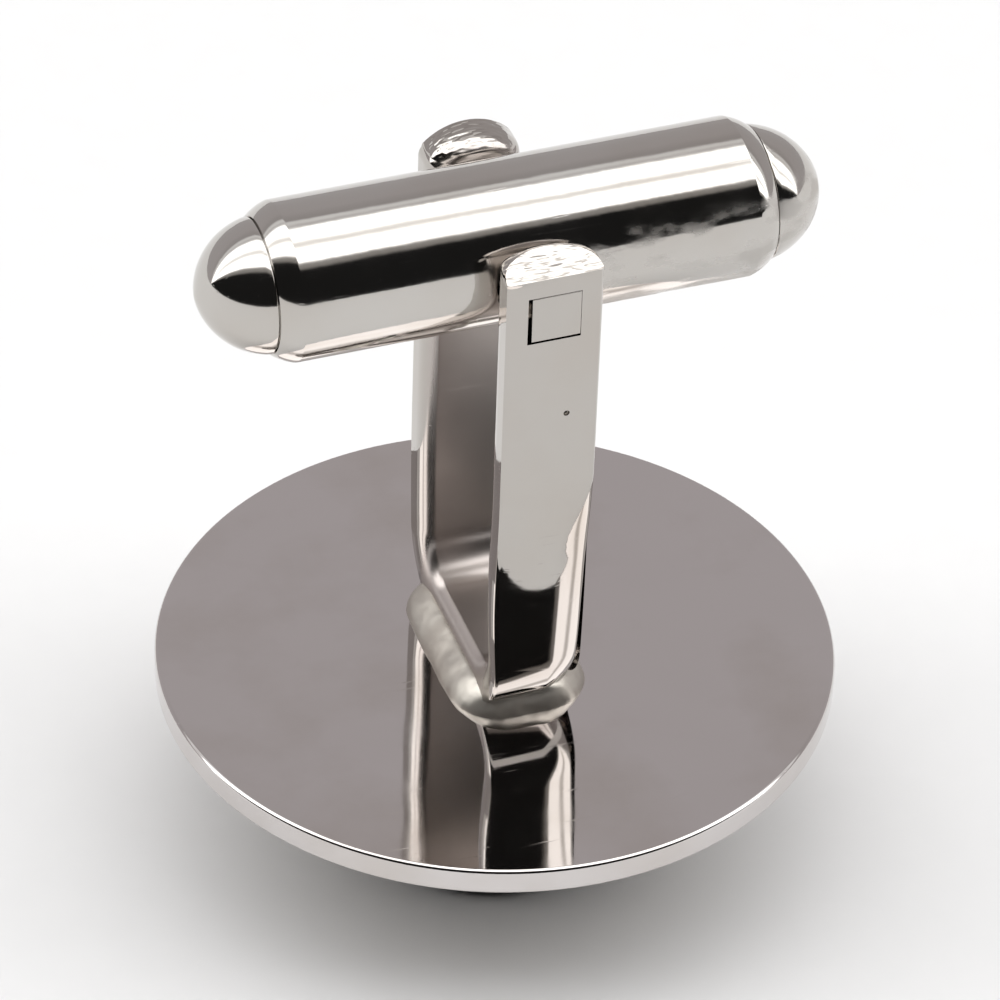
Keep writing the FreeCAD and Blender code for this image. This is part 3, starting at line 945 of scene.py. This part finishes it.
def dent_foot(piece):
    """Press one edge of a leg slightly in above its bend, as its bending left it."""
    post = sizes("post")
    rows = leg_rows()
    inner_half = post.strap_thickness / 2 - STRAP_OUTER

    def on_dented_side(face):
        return face.center.y < 0.0 and face.center.x < STRAP_HALF / LEG_COLUMNS

    def in_rows(face):
        return post.bend_radius < face.center.z - PLATE_BACK < rows[-1]

    def dented(face):
        return on_dented_side(face) and in_rows(face)

    def uneven_inside(face):
        return inner_half < face.center.y < 0.0 and in_rows(face) and len(face.vertices) > 4

    for low, high in zip(rows, rows[1:]):
        pick(piece, "FACE", on_dented_side)
        place = (0.0, 0.0, PLATE_BACK + (low + high) / 2)
        bpy.ops.mesh.bisect(plane_co=place, plane_no=(0.0, 0.0, 1.0), threshold=MERGE_GAP)
    for column in range(1 - LEG_COLUMNS, 1):
        pick(piece, "FACE", dented)
        place = (STRAP_HALF * column / LEG_COLUMNS, 0.0, 0.0)
        bpy.ops.mesh.bisect(plane_co=place, plane_no=(1.0, 0.0, 0.0), threshold=MERGE_GAP)
    pick(piece, "FACE", uneven_inside)
    bpy.ops.mesh.quads_convert_to_tris(quad_method="BEAUTY", ngon_method="BEAUTY")
    clear_selection()
    group = piece.vertex_groups.new(name="dent")
    for vertex in piece.data.vertices:
        height = vertex.co.z - PLATE_BACK
        depth = min(vertex.co.x / STRAP_HALF, 0.0) ** 2
        depth *= eased(height, post.dent_low, post.dent_middle)
        depth *= eased(height, post.dent_top, post.dent_middle)
        group.add([vertex.index], depth if vertex.co.y < 0.0 else 0.0, "REPLACE")
    apply_modifier(
        piece,
        "DISPLACE",
        direction="Y",
        strength=post.foot_dent,
        mid_level=0.0,
        vertex_group="dent",
    )


def pit_cutter():
    """A small ball that leaves a pit in one leg's outer face."""
    post = sizes("post")
    place = (post.pit_side, post.pit_radius / 2 - STRAP_OUTER, PIVOT.z - post.pit_drop)
    clear_selection()
    bpy.ops.mesh.primitive_uv_sphere_add(radius=post.pit_radius, location=place)
    return bpy.context.object


class CufflinkStrap(bpy.types.Operator):
    """Bend the strap into its U, with arched ears, rounded edges and a square hole for the pin"""

    bl_idname = "cufflink.strap"
    bl_label = "Post strap"

    def execute(self, context):
        post = sizes("post")
        bend_y = STRAP_OUTER - post.bend_radius
        bend_z = PLATE_BACK + post.bend_radius
        outline = ear_outline()
        points = [(across, -STRAP_OUTER, PLATE_BACK + height) for across, height in outline]
        piece = draw_chain("strap", points)
        bpy.ops.mesh.edge_face_add()
        extrude((0.0, post.strap_thickness, 0.0))
        face_outwards()
        round_inner_edges(piece)
        pick(piece, "FACE", lambda face: face.center.z < bend_z + MERGE_GAP)
        bpy.ops.mesh.spin(
            steps=BEND_STEPS,
            angle=math.radians(-90.0),
            center=(0.0, -bend_y, bend_z),
            axis=(1.0, 0.0, 0.0),
        )
        extrude((0.0, bend_y, 0.0))
        bpy.ops.mesh.delete(type="ONLY_FACE")
        apply_modifier(piece, "MIRROR", use_axis=(False, True, False), merge_threshold=MERGE_GAP)
        pick(piece, "FACE", lambda face: True)
        face_outwards()
        shape_ears(piece)
        cut_away(piece, ear_slope_cutter())
        round_outer_edges(piece)
        dent_foot(piece)
        low, high = SEAT["pivot_pin"]
        hole = Vector((high.x - low.x, 2 * (high.y - low.y), high.z - low.z))
        cut_away(piece, add_box("pin_hole", hole, PIVOT))
        cut_away(piece, pit_cutter())
        smooth(piece, CUT_SHARP)
        fit(piece, "post", "post_strap", plated_metal("scuffed_strap"))
        return {"FINISHED"}


class CufflinkSolder(bpy.types.Operator):
    """Raise the collar of solder from its rounded foot to the ledge round the strap"""

    bl_idname = "cufflink.solder"
    bl_label = "Post solder"

    def execute(self, context):
        post = sizes("post")
        low, high = SEAT["post_solder"]
        foot = Vector((high.x, high.y - post.solder_setback))
        ledge_x = post.foot_width / 2 + post.solder_ledge_side
        ledge = Vector((ledge_x, foot.y - post.solder_ledge_end))
        height = low.z - 2 * post.solder_lump
        middle = foot - Vector((post.solder_corner, post.solder_corner))
        plan = []
        for turn, side_x, side_y in ((0.0, 1, 1), (90.0, -1, 1), (180.0, -1, -1), (270.0, 1, -1)):
            centre = (side_x * middle.x, side_y * middle.y)
            plan += arc(centre, post.solder_corner, turn, turn + 90.0)
        piece = draw_chain("solder_collar", [(across, along, height) for across, along in plan])
        bpy.ops.mesh.edge_face_add()
        reach = foot
        for spread_share, rise_share in arc((0.0, 0.0), 1.0, 0.0, 90.0):
            next_height = low.z + rise_share ** SOLDER_FULLNESS * post.solder_height
            next_reach = ledge + (foot - ledge) * spread_share ** SOLDER_FULLNESS
            extrude((0.0, 0.0, next_height - height))
            scale = (next_reach.x / reach.x, next_reach.y / reach.y, 1.0)
            bpy.ops.transform.resize(value=scale, center_override=ORIGIN)
            height = next_height
            reach = next_reach
        face_outwards()
        lumps = bpy.data.textures.new("solder_lumps", "CLOUDS")
        lumps.noise_scale = post.solder_lump_size
        apply_modifier(piece, "REMESH", mode="VOXEL", voxel_size=post.solder_grain)
        apply_modifier(
            piece,
            "DISPLACE",
            texture=lumps,
            texture_coords="LOCAL",
            strength=post.solder_lump,
            mid_level=0.5,
        )
        apply_modifier(piece, "SMOOTH", factor=0.5, iterations=8)
        bpy.ops.object.shade_smooth()
        fit(piece, "post", "post_solder", solder_finish())
        return {"FINISHED"}


class CufflinkPin(bpy.types.Operator):
    """Shape the square pin, driven towards one corner of its hole, with broken ends"""

    bl_idname = "cufflink.pin"
    bl_label = "Pivot pin"

    def execute(self, context):
        post = sizes("post")
        low, high = SEAT["pivot_pin"]
        low = low + Vector((post.pin_gap_left, 0.0, post.pin_gap_below))
        high = high - Vector((post.pin_gap_right, 0.0, post.pin_gap_above))
        piece = add_box("square_pin", high - low, (low + high) / 2)
        pick(piece, "EDGE", lambda edge: True)
        bpy.ops.mesh.bevel(offset=post.pin_edge, segments=3, affect="EDGES")
        end_area = (high.x - low.x) * (high.z - low.z) / 2
        pick(piece, "FACE", lambda face: abs(face.normal.y) * face.area > end_area)
        bpy.ops.mesh.inset(thickness=3 * post.pin_edge, use_individual=True)
        bpy.ops.mesh.inset(thickness=3 * post.pin_edge, use_individual=True)
        smooth(piece, STAMPED_SHARP)
        fit(piece, "post", "pivot_pin", plated_metal("scuffed_pin"))
        return {"FINISHED"}


# Pieces of the toggle
class CufflinkBarrel(bpy.types.Operator):
    """Turn the tube of the toggle and bore its two bearing holes"""

    bl_idname = "cufflink.barrel"
    bl_label = "Toggle barrel"

    def execute(self, context):
        toggle = sizes("toggle")
        end = SEAT["toggle_barrel"][1].x
        outer = SEAT["toggle_barrel"][1].y
        bore = outer - toggle.barrel_wall
        mouth = outer - toggle.barrel_edge
        right = bowed((end - toggle.barrel_taper, outer), (end, mouth), toggle.barrel_bow)
        left = [(-along, radius) for along, radius in reversed(right)]
        profile = [(-end, bore)] + left + right + [(end, bore), (-end, bore)]
        piece = turned_on_toggle("barrel", profile)
        pin_low, pin_high = SEAT["pivot_pin"]
        corner = math.hypot(pin_high.x, pin_high.x) + toggle.bearing_clearance
        clear_selection()
        bpy.ops.mesh.primitive_cylinder_add(
            vertices=ROUND_STEPS // 2,
            radius=corner,
            depth=pin_high.y - pin_low.y,
            location=PIVOT,
            rotation=(math.radians(90.0), 0.0, 0.0),
        )
        cut_away(piece, bpy.context.object)
        smooth(piece, CUT_SHARP)
        fit(piece, "toggle", "toggle_barrel", plated_metal("bright_toggle"))
        return {"FINISHED"}


class CufflinkNoses(bpy.types.Operator):
    """Turn one bullet-nosed plug with its shoulder, and copy it to the tube's other end"""

    bl_idname = "cufflink.noses"
    bl_label = "Nose plugs"

    def execute(self, context):
        toggle = sizes("toggle")
        low, high = SEAT["nose_plug_right"]
        mouth = SEAT["toggle_barrel"][1]
        shank = mouth.y - toggle.barrel_wall - toggle.shank_clearance
        shoulder = mouth.x + toggle.seam_width
        edge = toggle.nose_edge
        side_start = (shoulder + edge, toggle.nose_radius)
        side = math.hypot(high.x - side_start[0], toggle.nose_radius)
        bow = toggle.nose_side - math.sqrt(toggle.nose_side ** 2 - side ** 2 / 4)
        profile = [(low.x, 0.0), (low.x, shank), (shoulder, shank)]
        edge_middle = (shoulder + edge, toggle.nose_radius - edge)
        profile += arc(edge_middle, edge, 180.0, 90.0, ARC_STEPS // 2)
        profile += bowed(side_start, (high.x, 0.0), bow)[1:]
        right = turned_on_toggle("nose_right", profile)
        smooth(right, ROUND_SHARP)
        fit(right, "toggle", "nose_plug_right", plated_metal("bright_toggle"))
        choose(right)
        bpy.ops.object.duplicate(linked=False)
        left = named("nose_left")
        pick(left, "VERT", lambda vertex: True)
        bpy.ops.transform.rotate(value=math.pi, orient_axis="Z", center_override=ORIGIN)
        clear_selection()
        fit(left, "toggle", "nose_plug_left", plated_metal("bright_toggle"))
        return {"FINISHED"}


class CufflinkInnerPieces(bpy.types.Operator):
    """Give the cement and the leaf springs inside their finishes"""

    bl_idname = "cufflink.inner_pieces"
    bl_label = "Cement and leaf springs"

    def execute(self, context):
        spring = spring_finish()
        finishes = {
            "stone_cement": cement_finish(),
            "leaf_spring_upper": spring,
            "leaf_spring_lower": spring,
        }
        for node, finish in finishes.items():
            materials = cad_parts[node].data.materials
            materials.clear()
            materials.append(finish)
        return {"FINISHED"}


# Studio
def build_room(studio):
    """The room that the metal mirrors: light overhead, a grey far side and a dark near side."""
    world = bpy.data.worlds.new("studio_room")
    bpy.context.scene.world = world
    world.use_nodes = True
    tree = world.node_tree
    tree.nodes.clear()
    way = add(tree, "ShaderNodeTexCoord").outputs["Generated"]
    about_z = {"rotation_type": "Z_AXIS"}
    rotation = add(tree, "ShaderNodeVectorRotate", about_z, Vector=way, Angle=-studio.azimuth)
    way = rotation.outputs["Vector"]
    nearness = multiplied(tree, part_of(tree, way, "Y"), -1.0)
    lean = calculated(tree, "ARCTAN2", nearness, part_of(tree, way, "Z"))
    turn_share = ranged(tree, lean, -math.pi, math.pi, 0.0, 1.0)
    ramp = add(tree, "ShaderNodeValToRGB", Fac=turn_share)
    grey = studio.far_wall / studio.overhead
    dark = studio.near_wall / studio.overhead
    # Degrees from straight up, towards the camera if positive, and the shade of the room there
    bands = [
        (-180.0, (grey, grey, grey)),
        (-52.0, (grey, 0.94 * grey, 0.95 * grey)),
        (-38.0, (0.85 * grey, 0.80 * grey, 0.80 * grey)),
        (-35.0, (1.9 * grey, 1.9 * grey, 1.9 * grey)),
        (-32.0, (1.9 * grey, 1.9 * grey, 1.9 * grey)),
        (-29.0, (1.45 * grey, 1.4 * grey, 1.4 * grey)),
        (-26.0, (1.6 * grey, 1.6 * grey, 1.6 * grey)),
        (-23.0, (1.0, 1.0, 1.0)),
        (-6.0, (1.0, 1.0, 1.0)),
        (-2.0, (0.50, 0.49, 0.48)),
        (2.0, (0.50, 0.49, 0.48)),
        (6.0, (1.0, 1.0, 1.0)),
        (24.0, (1.0, 1.0, 1.0)),
        (27.0, (0.16, 0.155, 0.15)),
        (33.0, (0.12, 0.115, 0.11)),
        (36.0, (dark, dark, dark)),
        (88.0, (dark, dark, dark)),
        (100.0, (grey, grey, grey)),
        (180.0, (grey, grey, grey)),
    ]
    while len(ramp.color_ramp.elements) < len(bands):
        ramp.color_ramp.elements.new(0.5)
    for element, (degrees, shade) in zip(ramp.color_ramp.elements, bands):
        element.position = (degrees + 180.0) / 360.0
        element.color = (*shade, 1.0)
    seen = add(tree, "ShaderNodeLightPath").outputs["Is Camera Ray"]
    lit = add(tree, "ShaderNodeBackground", Color=ramp.outputs["Color"], Strength=studio.overhead)
    white = (1.0, 1.0, 1.0, 1.0)
    plain = add(tree, "ShaderNodeBackground", Color=white, Strength=studio.backdrop)
    both = add(tree, "ShaderNodeMixShader", Fac=seen)
    tree.links.new(lit.outputs["Background"], both.inputs[1])
    tree.links.new(plain.outputs["Background"], both.inputs[2])
    add(tree, "ShaderNodeOutputWorld", Surface=both.outputs["Shader"])


class CufflinkStage(bpy.types.Operator):
    """Set up the pale floor, the soft studio light and the camera"""

    bl_idname = "cufflink.stage"
    bl_label = "Stage"

    def execute(self, context):
        studio = sizes("studio")
        clear_selection()
        below = (0.0, 0.0, CAD_BOX[0].z)
        bpy.ops.mesh.primitive_plane_add(size=studio.floor_size, location=below)
        floor = context.object
        floor.name = "floor"
        floor.data.materials.append(floor_finish())
        build_room(studio)
        aim = Vector((0.0, 0.0, studio.aim_height))
        level = math.cos(studio.elevation)
        back = Vector((
            math.sin(studio.azimuth) * level,
            -math.cos(studio.azimuth) * level,
            math.sin(studio.elevation),
        ))
        turn = (-back).to_track_quat("-Z", "Y") @ Quaternion((0.0, 0.0, 1.0), studio.roll)
        bpy.ops.object.camera_add(location=aim + back * studio.distance, rotation=turn.to_euler())
        camera = context.object
        camera.data.lens = studio.focal_length
        camera.data.clip_start = studio.distance / 100
        context.scene.camera = camera
        context.scene.view_settings.view_transform = "Standard"
        return {"FINISHED"}


# Panel and registration
PIECE_STEPS = (
    CufflinkBackPlate,
    CufflinkSkirt,
    CufflinkCup,
    CufflinkStone,
    CufflinkStrap,
    CufflinkSolder,
    CufflinkPin,
    CufflinkBarrel,
    CufflinkNoses,
    CufflinkInnerPieces,
    CufflinkStage,
)
GROUPS = {
    "face": CufflinkFaceSizes,
    "post": CufflinkPostSizes,
    "toggle": CufflinkToggleSizes,
    "finishes": CufflinkFinishes,
    "studio": CufflinkStudio,
}


class CufflinkPanel(bpy.types.Panel):
    """Sizes, finishes and steps of the cufflink"""

    bl_idname = "VIEW3D_PT_cufflink"
    bl_label = "Cufflink"
    bl_space_type = "VIEW_3D"
    bl_region_type = "UI"
    bl_category = "Cufflink"

    def draw(self, context):
        for group, kind in GROUPS.items():
            box = self.layout.box()
            box.label(text=group.capitalize())
            for name in kind.__annotations__:
                box.prop(sizes(group), name)
        for step in PIECE_STEPS:
            self.layout.operator(step.bl_idname)


def register():
    """Register the classes and hang the property groups on the scene."""
    for kind in (*GROUPS.values(), *PIECE_STEPS, CufflinkPanel):
        bpy.utils.register_class(kind)
    for group, kind in GROUPS.items():
        setattr(bpy.types.Scene, "cufflink_" + group, bpy.props.PointerProperty(type=kind))


def unregister():
    """Take the property groups off the scene and unregister the classes."""
    for group in GROUPS:
        delattr(bpy.types.Scene, "cufflink_" + group)
    for kind in reversed((*GROUPS.values(), *PIECE_STEPS, CufflinkPanel)):
        bpy.utils.unregister_class(kind)


def main():
    """Model the cufflink piece by piece and set up the stage."""
    register()
    bpy.ops.cufflink.back_plate()
    bpy.ops.cufflink.skirt()
    bpy.ops.cufflink.cup()
    bpy.ops.cufflink.stone()
    bpy.ops.cufflink.strap()
    bpy.ops.cufflink.solder()
    bpy.ops.cufflink.pin()
    bpy.ops.cufflink.barrel()
    bpy.ops.cufflink.noses()
    bpy.ops.cufflink.inner_pieces()
    bpy.ops.cufflink.stage()


if __name__ == "__main__":
    main()
